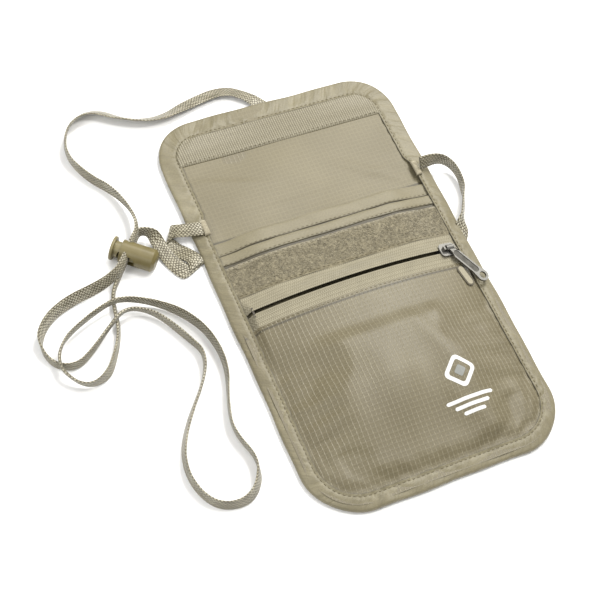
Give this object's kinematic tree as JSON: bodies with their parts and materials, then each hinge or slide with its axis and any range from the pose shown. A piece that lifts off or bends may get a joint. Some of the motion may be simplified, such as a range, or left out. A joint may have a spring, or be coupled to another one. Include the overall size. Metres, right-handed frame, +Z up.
{
  "type": "neck pouch wallet",
  "caption": "Flat fabric neck pouch lying open: flap with hook strip, card and note pockets, arched zip pocket with slider and pull, braided neck cord with a spring lock.",
  "frame": {"origin": "on the table, under the middle of the opened pouch (without its cord)", "axes": "+X across the pouch towards the zip's closed slider end, +Y from the pouch's bottom edge towards the flap's free edge, +Z up from the table"},
  "size_m": [0.2496, 0.265, 0.0143],
  "materials": {
    "ripstop": "coated ripstop nylon, soft sheen",
    "lining": "plain woven nylon lining",
    "binding": "smooth folded nylon binding",
    "hem_tape": "folded grosgrain hem",
    "loop_pile": "fuzzy loop pile",
    "hook_tape": "moulded nylon hooks, fine ribs",
    "zip_tape": "woven herringbone tape",
    "zip_coil": "nylon coil",
    "end_tab": "folded tape with a dark rim",
    "print": "thin screen print",
    "slider_metal": "plated zinc, worn",
    "pull_metal": "plated zinc, bright rims",
    "lock_plastic": "moulded acetal, satin",
    "spring_steel": "drawn wire",
    "cord": "flat diagonal braid, speckled"
  },
  "bodies": {
    "pouch": {"back_panel": "ripstop", "back_lining": "lining", "body_border": "binding", "card_pocket": "ripstop", "card_pocket_hem": "hem_tape", "note_pocket": "ripstop", "note_pocket_hem": "hem_tape", "loop_strip": "loop_pile", "front_panel": "ripstop", "printed_mark": "print", "zip_tape_lower": "zip_tape", "zip_tape_upper": "zip_tape", "zip_coil_lower": "zip_coil", "zip_coil_upper": "zip_coil", "zip_stops": "zip_coil", "zip_end_tab": "end_tab", "cord_tack_left": "binding", "cord_tack_right": "binding", "lock_barrel": "lock_plastic", "lock_spring": "spring_steel", "cord_in_lock": "cord", "cord_left": "cord", "cord_tail_thin": "cord", "cord_tail_loop": "cord", "cord_tail_wide": "cord", "cord_top": "cord", "cord_under": "cord", "cord_right": "cord"},
    "flap": {"flap_border": "binding", "flap_outer": "ripstop", "flap_lining": "lining", "hook_strip": "hook_tape"},
    "zip_slider": {"slider_body": "slider_metal", "slider_bail": "slider_metal"},
    "zip_pull": {"pull_tab": "pull_metal"},
    "lock_button": {"lock_button": "lock_plastic"}
  },
  "joints": [
    {"name": "flap_fold", "type": "hinge", "parent": "pouch", "child": "flap", "pos_m": [0, 0.058, 0.0064], "axis": [1, 0, 0], "range_deg": [0, 170]},
    {"name": "zip_slide", "type": "hinge", "parent": "pouch", "child": "zip_slider", "pos_m": [0, -0.0045, -0.2595], "axis": [0, -1, 0], "range_deg": [0, 22.1]},
    {"name": "pull_tilt", "type": "hinge", "parent": "zip_slider", "child": "zip_pull", "pos_m": [0.05321, -0.0045, 0.01204], "axis": [-0.9813, 0, 0.1923], "range_deg": [0, 85]},
    {"name": "button_press", "type": "slide", "parent": "pouch", "child": "lock_button", "axis": [0.7682, -0.6402, 0], "range_m": [0, 0.003], "stiffness_N_per_m": 400, "springref_m": -0.0015, "deforming": ["lock_spring"]}
  ]
}
